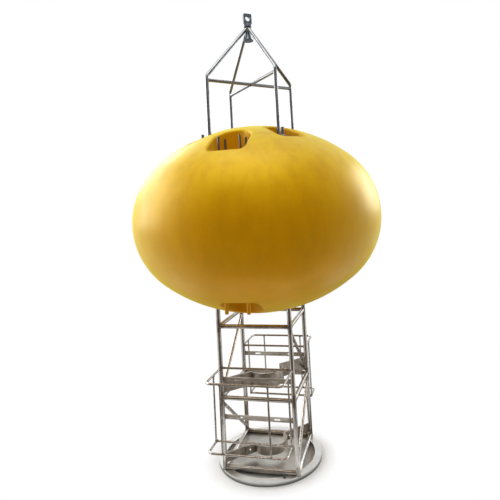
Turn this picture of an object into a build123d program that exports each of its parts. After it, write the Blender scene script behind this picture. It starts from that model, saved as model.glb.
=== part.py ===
"""Oceanographic buoy: a foam float on a welded stainless frame.

Four legs stand on a round base, carry an open instrument cage and pass up through the float. Above
it four bent rods meet at a head with a swivelling lifting eye. The frame is the same after half a
turn about Z. Millimetres, +Z up, the front (open side with a guard) faces -Y, and the origin is the
centre of the base ring's underside.
"""
import os
from math import atan2, cos, degrees, radians, sin, sqrt

from build123d import *

# Cage
LEG_SPACING = 423.0         # between leg axes, both ways
LEG_R = 13.0
RING_TUBE_R = 12.0
BRACE_R = 9.0
BRACE_DROP = 24.0           # brace ends meet the legs this far clear of the ring tubes' axes
TOP_RING_Z = 824.0
MID_RING_Z = 420.0

# Base
BASE_MARGIN = 9.0           # from the leg axes out to the rolled angle ring's outside
BASE_HEIGHT = 24.0          # height of its skirt
BASE_WALL = 6.0             # thickness of skirt and flange
BASE_FLANGE = 40.0          # width of the flat top flange
BASE_HOLE_R = 7.5
BASE_HOLE_INSET = 24.0      # fixing holes, in from the ring's outside
BASE_HOLE_TURN = 30.0       # first hole, degrees from the front towards +X
FLOOR_PLATE_THICK = 6.0
FLOOR_PLATE_GAP = 3.0       # between the floor plate's corners and the flange

# Float
FLOAT_R = 750.0
FLOAT_HALF_HEIGHT = 563.0
FLOAT_SIDE_R = 460.0        # of the outline at the widest part
FLOAT_GAP = 50.0            # from the top ring's axis to the float's underside
LEG_BORE_CLEAR = 0.2
END_POCKET_HALF_WIDTH = 106.0
TOP_POCKET_DEPTH = 201.0    # floor, below the float's top
TOP_POCKET_ROUND_Y = 427.0  # centre of the round inner end, from the axis
LOW_POCKET_DEPTH = 143.0    # ceiling, above the float's underside
LOW_POCKET_INSET = 64.0     # its round end's centre lies this much further in
CORNER_POCKET_HALF_WIDTH = 85.0
CORNER_POCKET_DEPTH = 128.0
POCKET_CORNER_R = 24.0      # between a pocket's walls and its floor
POCKET_LIP_R = 11.0         # where a pocket breaks the float's skin

# Tie rods and corner studs
TIE_ROD_R = 6.0
TIE_ROD_HALF_X = 60.0
TIE_ROD_OUTWARD = 43.0      # outer pair, from the top pocket's round centre
TIE_ROD_INWARD = 64.0       # inner pair, the other way
TIE_ROD_ABOVE = 88.0        # above the top pocket's floor
TIE_ROD_BELOW = 62.0        # outer pair, below the low pocket's ceiling
TIE_ROD_SHORT = 24.0        # inner pair, likewise
TIE_ROD_CLEAR = 0.2
STUD_R = 9.0
STUD_STEP = 44.0            # from the rod outwards along the diagonal
STUD_ABOVE = 74.0           # above the corner pocket's floor
STUD_BELOW = 120.0          # anchored in the foam
STUD_CLEAR = 0.2

# Lifting frame
FOOT_THICK = 12.0
FOOT_LENGTH = 150.0
FOOT_WIDTH = 100.0
FOOT_INSET = 40.0           # from the foot's inner end to the rod
ROD_R = 11.0
ROD_BEND_RISE = 308.0       # from the float's top to where the two straight runs would meet
ROD_BEND_R = 45.0
ROD_APEX_RISE = 347.0       # from there to where the sloping runs would meet on the axis
CROSS_BAR_R = 10.0
CROSS_BAR_DROP = 27.0       # below the bends

# Head and swivelling eye
HEAD_DROP = 93.0            # from the rods' apex down to the disc's underside
HEAD_DISC_R = 32.0
HEAD_EDGE = 2.0             # chamfer of the disc and collar
HEAD_FLARE = 3.0            # how far the bell's side curves in
HEAD_DISC_THICK = 6.0
HEAD_BELL_R = 26.0
HEAD_BELL_HEIGHT = 44.0
HEAD_NECK_R = 16.0
HEAD_NECK_HEIGHT = 38.0
HEAD_COLLAR_R = 24.0
HEAD_COLLAR_HEIGHT = 26.0
EYE_SHANK_R = 10.0
EYE_SHANK_DEPTH = 80.0      # below the collar's top
EYE_CLEAR = 0.05            # radial clearance of the shank
EYE_SEAT_GAP = 0.3
EYE_WIDTH = 54.0
EYE_THICK = 20.0
EYE_HEIGHT = 64.0
EYE_HOLE_R = 17.5
EYE_HOLE_Z = 31.0           # above the eye's underside
EYE_CORNER_R = 7.0
EYE_EDGE_R = 2.0
EYE_TURN = 39.0             # the eye as it stands, degrees from the front towards +X

# Guards, one on the front and one on the back
GUARD_R = 6.0
GUARD_UPRIGHT_R = 5.0
GUARD_TOP_RISE = 167.0      # top hoop, above the middle ring
GUARD_LOW_DROP = 188.0      # low hoop, below the middle ring
GUARD_DEPTH = 235.5         # outer bars, out from the leg axes
GUARD_MID_DEPTH = 110.5     # inner bar of the low hoop, out from the leg axes
GUARD_UPRIGHT_X = 130.0
GUARD_CORNER_R = 30.0

# Slotted flat bars
BAR_HEIGHT = 25.0
BAR_THICK = 6.0
SLOT_X = 110.0
SLOT_LENGTH = 36.0
SLOT_WIDTH = 10.0

# Instrument clamps on the front-left to back-right diagonal
CLAMP_R = 100.0
CLAMP_WALL = 6.0
CLAMP_EAR_END = 166.0       # outer end of the band's ears, from the axis
CLAMP_HOLE_STEP = 138.0     # bolt holes, from the axis
CLAMP_HOLE_R = 7.0
CLAMP_BEND_R = 9.0          # where an ear is bent out of the band
GUSSET_THICK = 8.0

HALF = LEG_SPACING / 2
CORNER_R = HALF * sqrt(2)
BASE_R = CORNER_R + BASE_MARGIN
LOW_RING_Z = BASE_HEIGHT + RING_TUBE_R
FLOAT_LOW_Z = TOP_RING_Z + FLOAT_GAP
FLOAT_Z = FLOAT_LOW_Z + FLOAT_HALF_HEIGHT
FLOAT_TOP_Z = FLOAT_Z + FLOAT_HALF_HEIGHT
TOP_FLOOR_Z = FLOAT_TOP_Z - TOP_POCKET_DEPTH
LOW_CEILING_Z = FLOAT_LOW_Z + LOW_POCKET_DEPTH
CORNER_FLOOR_Z = FLOAT_TOP_Z - CORNER_POCKET_DEPTH
FOOT_TOP_Z = CORNER_FLOOR_Z + FOOT_THICK
ROD_BEND_Z = FLOAT_TOP_Z + ROD_BEND_RISE
ROD_APEX_Z = ROD_BEND_Z + ROD_APEX_RISE
CROSS_BAR_Z = ROD_BEND_Z - CROSS_BAR_DROP
GUARD_TOP_Z = MID_RING_Z + GUARD_TOP_RISE
GUARD_LOW_Z = MID_RING_Z - GUARD_LOW_DROP
GUARD_REACH = HALF + GUARD_DEPTH
GUARD_MID = HALF + GUARD_MID_DEPTH
HEAD_Z = ROD_APEX_Z - HEAD_DROP
HEAD_BELL_Z = HEAD_Z + HEAD_DISC_THICK
HEAD_NECK_Z = HEAD_BELL_Z + HEAD_BELL_HEIGHT
HEAD_COLLAR_Z = HEAD_NECK_Z + HEAD_NECK_HEIGHT
HEAD_TOP_Z = HEAD_COLLAR_Z + HEAD_COLLAR_HEIGHT
EYE_Z = HEAD_TOP_Z + EYE_SEAT_GAP

# name, side in X, side in Y
CORNERS = [
    ("front_left", -1, -1),
    ("front_right", 1, -1),
    ("back_right", 1, 1),
    ("back_left", -1, 1),
]

# face, sign of X and Y that carries the front to it by half a turn
ENDS = [("front", 1), ("back", -1)]

BOTTOM = (Align.CENTER, Align.CENTER, Align.MIN)
MIDDLE = (Align.CENTER, Align.CENTER, Align.CENTER)


def save(builder, name):
    builder.part.label = name
    export_step(builder.part, f"parts/{name}.step")


def run(start, end):
    """Plane at start whose Z points at end, and the distance between them."""
    way = Vector(*end) - Vector(*start)
    return Plane(origin=start, z_dir=way), way.length


def bar(start, end, radius, mode=Mode.ADD):
    """Adds or cuts a round bar between two points in the current part."""
    plane, length = run(start, end)
    with Locations(plane):
        Cylinder(radius, length, align=BOTTOM, mode=mode)


def cut_legs(low, high, radius=LEG_R):
    """Cuts the four legs, or the rods above them, away between two heights, so that a bar fits round them."""
    for _, side_x, side_y in CORNERS:
        x, y = side_x * HALF, side_y * HALF
        bar((x, y, low), (x, y, high), radius, Mode.SUBTRACT)


def turned(angle):
    """The part's own axes, turned about Z."""
    return Plane.XY.rotated((0, 0, angle))


os.makedirs("parts", exist_ok=True)

# Base ring: a rolled angle, its flat flange on top and its skirt outside
with BuildPart() as base_ring:
    with BuildSketch(Plane.XZ):
        with BuildLine():
            Polyline(
                (BASE_R, 0),
                (BASE_R, BASE_HEIGHT),
                (BASE_R - BASE_FLANGE, BASE_HEIGHT),
                (BASE_R - BASE_FLANGE, BASE_HEIGHT - BASE_WALL),
                (BASE_R - BASE_WALL, BASE_HEIGHT - BASE_WALL),
                (BASE_R - BASE_WALL, 0),
                close=True,
            )
        make_face()
    revolve(axis=Axis.Z)
    with Locations((0, 0, BASE_HEIGHT)):
        with PolarLocations(BASE_R - BASE_HOLE_INSET, 2, start_angle=BASE_HOLE_TURN - 90):
            Hole(BASE_HOLE_R, depth=BASE_WALL)
save(base_ring, "base_ring")

# Floor plate: lies under the bottom tubes, inside the flange
with BuildPart() as floor_plate:
    with BuildSketch(Plane.XY.offset(BASE_HEIGHT - FLOOR_PLATE_THICK)):
        Rectangle(LEG_SPACING, LEG_SPACING)
        Circle(BASE_R - BASE_FLANGE - FLOOR_PLATE_GAP, mode=Mode.INTERSECT)
    extrude(amount=FLOOR_PLATE_THICK)
save(floor_plate, "floor_plate")

# Legs: from the base flange up through the float to the lifting frame's feet
for corner, side_x, side_y in CORNERS:
    with BuildPart() as leg:
        with Locations((side_x * HALF, side_y * HALF, BASE_HEIGHT)):
            Cylinder(LEG_R, CORNER_FLOOR_Z - BASE_HEIGHT, align=BOTTOM)
    save(leg, f"leg_{corner}")

# Ring tubes: four between the legs at each of three heights
RINGS = [("bottom", LOW_RING_Z), ("middle", MID_RING_Z), ("top", TOP_RING_Z)]
SIDES = [("front", 0.0), ("right", 90.0), ("back", 180.0), ("left", 270.0)]
for ring, height in RINGS:
    for side, turn in SIDES:
        c, s = cos(radians(turn)), sin(radians(turn))
        start = (-HALF * c + HALF * s, -HALF * s - HALF * c, height)
        end = (HALF * c + HALF * s, HALF * s - HALF * c, height)
        with BuildPart() as ring_tube:
            bar(start, end, RING_TUBE_R)
            cut_legs(height - 2 * RING_TUBE_R, height + 2 * RING_TUBE_R)
            if side in ("right", "left"):
                for y in (-HALF, HALF):
                    bar((-HALF, y, height), (HALF, y, height), RING_TUBE_R, Mode.SUBTRACT)
        save(ring_tube, f"{ring}_ring_{side}")

# Braces: a zigzag on the right face, and the same after half a turn on the left
# name, upper end's height, its side in Y, lower end's height
BRACES = [
    ("upper", TOP_RING_Z - BRACE_DROP, -1, MID_RING_Z + BRACE_DROP),
    ("lower", MID_RING_Z - BRACE_DROP, 1, LOW_RING_Z + BRACE_DROP),
]


def brace_bar(side, high, side_y, low, mode=Mode.ADD):
    """Adds or cuts one brace's round bar; side is 1 on the right face and -1 on the left."""
    start = (side * HALF, side * side_y * HALF, high)
    end = (side * HALF, -side * side_y * HALF, low)
    bar(start, end, BRACE_R, mode)


for face, side in (("right", 1), ("left", -1)):
    for level, high, side_y, low in BRACES:
        with BuildPart() as brace:
            brace_bar(side, high, side_y, low)
            cut_legs(low - 4 * BRACE_R, high + 4 * BRACE_R)
        save(brace, f"brace_{face}_{level}")

# Slotted flat bars between the legs: name, height above the middle ring, side in Y
FLAT_BARS = [
    ("flat_bar_front_high", 104.0, -1),
    ("flat_bar_front_low", -106.0, -1),
    ("flat_bar_back_high", 116.0, 1),
]
for name, rise, side_y in FLAT_BARS:
    height = MID_RING_Z + rise
    face_y = side_y * HALF
    with BuildPart() as flat_bar:
        with Locations((0, face_y, height)):
            Box(LEG_SPACING, BAR_THICK, BAR_HEIGHT)
        with BuildSketch(Plane.XZ.offset(-face_y - BAR_THICK)):
            with Locations((-SLOT_X, height), (SLOT_X, height)):
                SlotOverall(SLOT_LENGTH, SLOT_WIDTH)
        extrude(amount=2 * BAR_THICK, mode=Mode.SUBTRACT)
        cut_legs(height - BAR_HEIGHT, height + BAR_HEIGHT)
    save(flat_bar, name)

# Guards: a U-shaped top hoop on the legs, four uprights and a closed low hoop
for face, flip in ENDS:

    def at(x, y, z):
        return (flip * x, flip * y, z)

    for level, height, root in (("top", GUARD_TOP_Z, HALF), ("low", GUARD_LOW_Z, GUARD_MID)):
        with BuildPart() as hoop:
            with BuildLine() as route:
                FilletPolyline(
                    at(-HALF, -root, height),
                    at(-HALF, -GUARD_REACH, height),
                    at(HALF, -GUARD_REACH, height),
                    at(HALF, -root, height),
                    radius=GUARD_CORNER_R,
                )
            with BuildSketch(Plane(origin=route.line @ 0, z_dir=route.line % 0)):
                Circle(GUARD_R)
            sweep()
            cut_legs(height - 2 * GUARD_R, height + 2 * GUARD_R)
        save(hoop, f"guard_{face}_{level}_hoop")
        with BuildPart() as cross:
            bar(at(-HALF, -root, height), at(HALF, -root, height), GUARD_R)
            if level == "top":
                cut_legs(height - 2 * GUARD_R, height + 2 * GUARD_R)
            else:
                for x in (-HALF, HALF):
                    bar(at(x, -root, height), at(x, -GUARD_REACH, height), GUARD_R, Mode.SUBTRACT)
        save(cross, f"guard_{face}_{level}_bar")
    with BuildPart() as uprights:
        for x, y in (
            (-HALF, -GUARD_MID - GUARD_R),
            (HALF, -GUARD_MID - GUARD_R),
            (-GUARD_UPRIGHT_X, -GUARD_REACH),
            (GUARD_UPRIGHT_X, -GUARD_REACH),
        ):
            bar(at(x, y, GUARD_LOW_Z + GUARD_R), at(x, y, GUARD_TOP_Z - GUARD_R), GUARD_UPRIGHT_R)
    save(uprights, f"guard_{face}_uprights")

# Instrument clamps: a half band with ears on the front-right side, on two gussets from the legs
# name, height of the ring below it, gap above that ring's tubes, height of the band
CLAMPS = [("mid", MID_RING_Z, 10.0, 80.0), ("low", LOW_RING_Z, 8.0, 50.0)]
DIAGONAL = turned(45)
for clamp, ring_z, gap, tall in CLAMPS:
    low = ring_z + RING_TUBE_R + gap
    middle = low + tall / 2
    with BuildPart() as band:
        with BuildSketch(DIAGONAL.offset(low)) as strip:
            Circle(CLAMP_R + CLAMP_WALL)
            Circle(CLAMP_R, mode=Mode.SUBTRACT)
            with Locations((0, CLAMP_R)):
                Rectangle(4 * CLAMP_R, 2 * CLAMP_R, mode=Mode.SUBTRACT)
            for side in (-1, 1):
                with Locations((side * (CLAMP_R + CLAMP_EAR_END) / 2, -CLAMP_WALL / 2)):
                    Rectangle(CLAMP_EAR_END - CLAMP_R, CLAMP_WALL)
            axis_point = Vector(0, 0, low)
            bends = [v for v in strip.vertices() if (v.center() - axis_point).length < CLAMP_R + 2 * CLAMP_WALL]
            fillet(bends, CLAMP_BEND_R)
        extrude(amount=tall)
        for side in (-1, 1):
            x = side * CLAMP_HOLE_STEP * cos(radians(45))
            plane = Plane(origin=(x, x, middle), z_dir=DIAGONAL.y_dir)
            with Locations(plane):
                Cylinder(CLAMP_HOLE_R, 4 * CLAMP_WALL, align=MIDDLE, mode=Mode.SUBTRACT)
    save(band, f"clamp_{clamp}_band")
    for corner, side in (("front_left", -1), ("back_right", 1)):
        with BuildPart() as gusset:
            with BuildSketch(DIAGONAL.offset(low)):
                with Locations((side * (CLAMP_R + CORNER_R) / 2, GUSSET_THICK / 2)):
                    Rectangle(CORNER_R - CLAMP_R, GUSSET_THICK)
            extrude(amount=tall)
            x = side * CLAMP_HOLE_STEP * cos(radians(45))
            plane = Plane(origin=(x, x, middle), z_dir=DIAGONAL.y_dir)
            with Locations(plane):
                Cylinder(CLAMP_HOLE_R, 4 * GUSSET_THICK, align=MIDDLE, mode=Mode.SUBTRACT)
            cut_legs(low - tall, low + 2 * tall)
            for _, brace_high, side_y, brace_low in BRACES:
                brace_bar(side, brace_high, side_y, brace_low, Mode.SUBTRACT)
        save(gusset, f"clamp_{clamp}_gusset_{corner}")

# Pockets: a round inner end and straight sides that run out through the float's skin
# name, height of the flat, round end's distance, half width, way it opens
POCKETS = [
    ("top", TOP_FLOOR_Z, TOP_POCKET_ROUND_Y, END_POCKET_HALF_WIDTH, 1),
    ("low", LOW_CEILING_Z, TOP_POCKET_ROUND_Y - LOW_POCKET_INSET, END_POCKET_HALF_WIDTH, -1),
    ("corner", CORNER_FLOOR_Z, CORNER_R, CORNER_POCKET_HALF_WIDTH, 1),
]
POCKET_TURNS = {"top": (0, 180), "low": (0, 180), "corner": (45, 135, 225, 315)}
cutters = {}
for name, flat_z, round_y, half_width, way in POCKETS:
    with BuildPart() as cutter:
        with BuildSketch(Plane.XY.offset(flat_z)):
            with Locations((0, -round_y)):
                Circle(half_width)
                Rectangle(2 * half_width, FLOAT_R, align=(Align.CENTER, Align.MAX))
        extrude(amount=way * FLOAT_HALF_HEIGHT)
        flat = cutter.faces().sort_by(Axis.Z)[0 if way == 1 else -1]
        fillet(flat.edges(), POCKET_CORNER_R)
    cutters[name] = cutter.part

# outer and inner pair: distance from the axis, reach below the low pocket's ceiling
TIE_RODS = [
    (TOP_POCKET_ROUND_Y + TIE_ROD_OUTWARD, TIE_ROD_BELOW),
    (TOP_POCKET_ROUND_Y - TIE_ROD_INWARD, TIE_ROD_SHORT),
]


def tie_rod_bars(flip, radius, mode=Mode.ADD):
    """Adds or cuts the four tie rods of one end."""
    for y, below in TIE_RODS:
        for x in (-TIE_ROD_HALF_X, TIE_ROD_HALF_X):
            foot = (x, -flip * y, LOW_CEILING_Z - below)
            top = (x, -flip * y, TOP_FLOOR_Z + TIE_ROD_ABOVE)
            bar(foot, top, radius, mode)


def stud_bars(radius, mode=Mode.ADD):
    """Adds or cuts the four corner studs."""
    reach = HALF + STUD_STEP / sqrt(2)
    for _, side_x, side_y in CORNERS:
        x, y = side_x * reach, side_y * reach
        bar((x, y, CORNER_FLOOR_Z - STUD_BELOW), (x, y, CORNER_FLOOR_Z + STUD_ABOVE), radius, mode)


# Float: a spheroid with pockets at front and back, at the corners, and bores for legs and tie rods.
# Its outline is a side arc that runs tangent into two flatter crown arcs centred on the axis.
side_step = FLOAT_R - FLOAT_SIDE_R
side_rise = FLOAT_HALF_HEIGHT - FLOAT_SIDE_R
crown_r = (side_step**2 + FLOAT_HALF_HEIGHT**2 - FLOAT_SIDE_R**2) / (2 * side_rise)
crown_drop = crown_r - FLOAT_HALF_HEIGHT
crown_arc = degrees(atan2(side_step, crown_drop))
with BuildPart() as float_body:
    with BuildSketch(Plane.XZ):
        with BuildLine():
            CenterArc((0, FLOAT_Z + crown_drop), crown_r, start_angle=-90, arc_size=crown_arc)
            CenterArc((side_step, FLOAT_Z), FLOAT_SIDE_R, start_angle=crown_arc - 90, arc_size=180 - 2 * crown_arc)
            CenterArc((0, FLOAT_Z - crown_drop), crown_r, start_angle=90 - crown_arc, arc_size=crown_arc)
            Line((0, FLOAT_TOP_Z), (0, FLOAT_LOW_Z))
        make_face()
    revolve(axis=Axis.Z)
    for name, turns in POCKET_TURNS.items():
        for turn in turns:
            add(cutters[name], rotation=(0, 0, turn), mode=Mode.SUBTRACT)
    skin = float_body.faces().filter_by(lambda f: f.geom_type in (GeomType.SPHERE, GeomType.REVOLUTION))
    walls = float_body.faces().filter_by(lambda f: f.geom_type not in (GeomType.SPHERE, GeomType.REVOLUTION))
    skin_edges = skin.edges()
    lips = [edge for edge in walls.edges() if any(edge.is_same(other) for other in skin_edges)]
    fillet(lips, POCKET_LIP_R)
    cut_legs(0, CORNER_FLOOR_Z, LEG_R + LEG_BORE_CLEAR)
    stud_bars(STUD_R + STUD_CLEAR, Mode.SUBTRACT)
    for _, flip in ENDS:
        tie_rod_bars(flip, TIE_ROD_R + TIE_ROD_CLEAR, Mode.SUBTRACT)
save(float_body, "float_body")

# Tie rods: four through the float at each end, from the top pocket to the low one
for face, flip in ENDS:
    with BuildPart() as tie_rods:
        tie_rod_bars(flip, TIE_ROD_R)
    save(tie_rods, f"tie_rods_{face}")

# Feet of the lifting frame: plates on the corner pockets' floors, each with a hole for its stud
for corner, side_x, side_y in CORNERS:
    with BuildPart() as foot_plate:
        with BuildSketch(turned(degrees(atan2(side_y, side_x))).offset(CORNER_FLOOR_Z)):
            with Locations((CORNER_R - FOOT_INSET + FOOT_LENGTH / 2, 0)):
                RectangleRounded(FOOT_LENGTH, FOOT_WIDTH, FOOT_INSET / 2)
            with Locations((CORNER_R + STUD_STEP, 0)):
                Circle(STUD_R + STUD_CLEAR, mode=Mode.SUBTRACT)
        extrude(amount=FOOT_THICK)
    save(foot_plate, f"foot_{corner}")

# Corner studs: anchored in the float, up through the feet
with BuildPart() as corner_studs:
    stud_bars(STUD_R)
save(corner_studs, "corner_studs")

# Lifting rods: upright from the feet, then bent in to the head's neck
for corner, side_x, side_y in CORNERS:
    x, y = side_x * HALF, side_y * HALF
    with BuildPart() as rod:
        with BuildLine() as route:
            FilletPolyline(
                (x, y, FOOT_TOP_Z),
                (x, y, ROD_BEND_Z),
                (0, 0, ROD_APEX_Z),
                radius=ROD_BEND_R,
            )
        with BuildSketch(Plane(origin=route.line @ 0, z_dir=route.line % 0)):
            Circle(ROD_R)
        sweep()
        with Locations((0, 0, HEAD_NECK_Z)):
            Cylinder(HEAD_NECK_R, HEAD_NECK_HEIGHT, align=BOTTOM, mode=Mode.SUBTRACT)
        with Locations((0, 0, HEAD_COLLAR_Z)):
            Cylinder(HEAD_COLLAR_R, 4 * HEAD_COLLAR_HEIGHT, align=BOTTOM, mode=Mode.SUBTRACT)
    save(rod, f"lifting_rod_{corner}")

# Cross bars: one whole on a diagonal, the other in two halves that meet it
with BuildPart() as cross_bar_long:
    bar((-HALF, -HALF, CROSS_BAR_Z), (HALF, HALF, CROSS_BAR_Z), CROSS_BAR_R)
    cut_legs(FOOT_TOP_Z, ROD_BEND_Z, ROD_R)
save(cross_bar_long, "cross_bar_long")
with BuildPart() as cross_bar_halves:
    bar((HALF, -HALF, CROSS_BAR_Z), (-HALF, HALF, CROSS_BAR_Z), CROSS_BAR_R)
    bar((-HALF, -HALF, CROSS_BAR_Z), (HALF, HALF, CROSS_BAR_Z), CROSS_BAR_R, Mode.SUBTRACT)
    cut_legs(FOOT_TOP_Z, ROD_BEND_Z, ROD_R)
save(cross_bar_halves, "cross_bar_halves")

# Head: disc, flared bell, neck and collar, bored for the eye's shank
flare = ((HEAD_BELL_R + HEAD_NECK_R) / 2 - HEAD_FLARE, (HEAD_BELL_Z + HEAD_NECK_Z) / 2)
with BuildPart() as head:
    with BuildSketch(Plane.XZ) as head_profile:
        with BuildLine():
            Polyline(
                (0, HEAD_Z),
                (HEAD_DISC_R, HEAD_Z),
                (HEAD_DISC_R, HEAD_BELL_Z),
                (HEAD_BELL_R, HEAD_BELL_Z),
            )
            ThreePointArc((HEAD_BELL_R, HEAD_BELL_Z), flare, (HEAD_NECK_R, HEAD_NECK_Z))
            Polyline(
                (HEAD_NECK_R, HEAD_NECK_Z),
                (HEAD_NECK_R, HEAD_COLLAR_Z),
                (HEAD_COLLAR_R, HEAD_COLLAR_Z),
                (HEAD_COLLAR_R, HEAD_TOP_Z),
                (0, HEAD_TOP_Z),
                (0, HEAD_Z),
            )
        make_face()
        rims = head_profile.vertices().filter_by(lambda v: v.X > HEAD_COLLAR_R - HEAD_EDGE and v.X != HEAD_BELL_R)
        chamfer(rims, HEAD_EDGE)
    revolve(axis=Axis.Z)
    with Locations((0, 0, HEAD_TOP_Z)):
        Hole(EYE_SHANK_R + EYE_CLEAR, depth=EYE_SHANK_DEPTH + EYE_SEAT_GAP)
save(head, "head")

# Swivel eye: a thick plate with a round hole, on a shank that turns in the head
EYE_COS = cos(radians(EYE_TURN))
EYE_SIN = sin(radians(EYE_TURN))
EYE_FACE = Plane((0, 0, 0), x_dir=(EYE_COS, EYE_SIN, 0), z_dir=(EYE_SIN, -EYE_COS, 0))
with BuildPart() as swivel_eye:
    with BuildSketch(EYE_FACE) as eye_profile:
        with Locations((0, EYE_Z + EYE_HEIGHT / 2)):
            Rectangle(EYE_WIDTH, EYE_HEIGHT)
        fillet(eye_profile.vertices().group_by(Axis.Y)[-1], EYE_CORNER_R)
        with Locations((0, EYE_Z + EYE_HOLE_Z)):
            Circle(EYE_HOLE_R, mode=Mode.SUBTRACT)
    extrude(amount=EYE_THICK / 2, both=True)
    cheeks = swivel_eye.faces().filter_by(GeomType.PLANE).sort_by(SortBy.AREA)[-2:]
    fillet([edge for cheek in cheeks for edge in cheek.outer_wire().edges()], EYE_EDGE_R)
    with Locations((0, 0, EYE_Z - EYE_SHANK_DEPTH)):
        Cylinder(EYE_SHANK_R, EYE_SHANK_DEPTH, align=BOTTOM)
save(swivel_eye, "swivel_eye")
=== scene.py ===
"""Looks of the oceanographic buoy: finishes, weld beads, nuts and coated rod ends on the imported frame.

Metres, +Z up, the front of the cage faces -Y. The solids keep their shape and get their finish here.
"""
from math import cos, pi, radians, sin, sqrt

import bpy
from mathutils import Matrix, Vector


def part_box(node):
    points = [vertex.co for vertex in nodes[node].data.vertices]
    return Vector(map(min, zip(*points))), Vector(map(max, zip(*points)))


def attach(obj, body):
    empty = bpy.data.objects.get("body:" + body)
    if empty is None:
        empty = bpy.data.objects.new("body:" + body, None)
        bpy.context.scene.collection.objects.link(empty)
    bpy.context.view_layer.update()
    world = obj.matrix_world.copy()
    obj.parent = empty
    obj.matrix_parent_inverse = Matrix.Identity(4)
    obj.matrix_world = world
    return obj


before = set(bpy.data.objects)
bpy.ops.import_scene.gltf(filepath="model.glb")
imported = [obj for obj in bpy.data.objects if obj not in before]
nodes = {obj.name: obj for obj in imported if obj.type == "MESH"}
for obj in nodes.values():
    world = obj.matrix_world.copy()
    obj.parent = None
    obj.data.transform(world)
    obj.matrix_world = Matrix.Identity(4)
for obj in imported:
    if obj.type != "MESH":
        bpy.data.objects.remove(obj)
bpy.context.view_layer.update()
MM = 0.001
UP = Vector((0, 0, 1))

# Camera, as the photograph was taken
CAMERA_AZIMUTH = 16.03      # degrees from the front towards +X
CAMERA_DISTANCE = 2.8157    # from the buoy's axis
CAMERA_HEIGHT = 1.4985
CAMERA_HEADING = 14.10      # degrees, anticlockwise from +Y
CAMERA_LOOK_UP = 3.43       # degrees
CAMERA_ROLL = -3.21         # degrees
CAMERA_SENSOR = 36          # mm across
CAMERA_LENS = 32.36         # mm
CAMERA_SHIFT = (-0.042, -0.14)

# Soft boxes: name, place, size, watts
LAMPS = [
    ("overhead", (0.1, -1.3, 5.0), 3.2, 115),
    ("left_side", (-4.3, -0.4, 2.8), 3.2, 130),
    ("left_rear", (-3.5, 2.6, 3.4), 2.2, 90),
    ("right_rear", (3.3, 3.5, 2.6), 2.2, 110),
    ("front_fill", (1.8, -3.6, 3.4), 2.0, 12),
]
WORLD_FILL = 0.22           # share of white that reaches matt surfaces

# Floor
FLOOR_REACH = 30.0
SHADOW_FADE = (0.29, 0.4)   # distances from the axis between which the shaded floor fades to white
BASE_SHADE = 60 * MM        # from the base ring's inside to where the painted shadow below the base ends

# Dark felt cards, seen only in gloss, which give the metal its dark cores
CARD_R = 4.5                # outer distance of the front and back cards from the axis
CARD_NEAR = 0.85            # where the front card starts on the floor
CARD_HEIGHT = 5.0           # of the front card's wall
CARD_LIFT = 2 * MM          # of the cards above the floor
CARD_SPREAD = 55            # degrees to each side of the front and back cards' middles
UNDER_CARD = (0.34, 1.0)    # inner and outer distance of the card below the float
UNDER_SPREAD = 110          # degrees to each side of its middle
CARD_STEPS = 20             # faces round a card

# Sizes of the frame that its boxes don't give
BRACE_DROP = 24 * MM        # brace ends meet the legs this far clear of the ring tubes' axes
CROSS_BAR_DROP = 27 * MM    # cross bars, below the rods' bends
HEAD_NECK_R = 16 * MM
ROD_APEX_RISE = 93 * MM     # where the sloping rods would meet, above the head's underside
CLAMP_PLATE = 8 * MM        # thickness of the clamps' gussets
TIE_ROD_R = 6 * MM
TIE_ROD_ABOVE = 88 * MM     # above the top pockets' floors
LOW_CEILING_Z = 1017 * MM   # flat of the low pockets
STUD_R = 9 * MM
GUARD_UPRIGHT_X = 130 * MM
CROWN_R = 919.8 * MM        # of the float's crown and its underside
CROWN_OFFSET = 356.8 * MM   # of their centres, past the float's middle
CROWN_EDGE_Z = 360.8 * MM   # from the float's middle, just inside the edges of both
BASE_INSIDE_R = 268 * MM
BASE_HOLE_R = 7.5 * MM
BASE_HOLE_INSET = 24 * MM   # in from the ring's outside
BASE_HOLE_TURN = 30         # degrees from the front towards +X; the other hole is opposite

# How far heat tint and painted shade reach
POCKET_TINT = (3 * MM, 16 * MM)     # depths below the crown between which the pockets' painted shade comes in
POCKET_SHARE = 0.9                  # of that painted shade, at its fullest
LEG_HEAT = 38 * MM                  # heat tint, from a leg along what is welded to it
RING_HEAT = 42 * MM                 # heat tint, up and down a leg from its ring tubes
SKIRT_GRIME_Z = 6 * MM              # up to here the base's skirt has its full painted shade
SKIRT_CLEAN = 2 * MM                # below the base ring's top, where its painted shade ends
SKIRT_SHARE = 0.85                  # of the painted shade's colour, at its fullest
HOLE_GRIME = 1.5 * MM               # painted shade, past the edge of a fixing hole

# Fasteners
TIE_NUT = {
    "Across Flats": 19 * MM, "Height": 10 * MM, "Chamfer": 1.2 * MM, "Washer": 24 * MM, "Plate": 2.5 * MM,
}
STUD_NUT = {
    "Across Flats": 27 * MM, "Height": 15 * MM, "Chamfer": 1.6 * MM, "Washer": 34 * MM, "Plate": 3 * MM,
}
NUT_TOP = 0.9               # a nut's top face, as a share of its hexagon
NUT_SEED = 11
WASHER_STEPS = 32           # points round a washer
MERGE_WITHIN = 0.01 * MM    # of doubled points

# Coated rod ends
COATED_R = 10 * MM
COATED_OVER = 2 * MM        # past the rod's end
COATED_COLLAR = [(1.5, 0), (1.15, 4 * MM), (1.0, 9 * MM)]  # share of the radius, drop below the ceiling
COATED_TIP = 0.6            # height of the round tip, as a share of the radius
COATED_TIP_STEPS = 5
COATED_STEPS = 20           # points round an end

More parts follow.
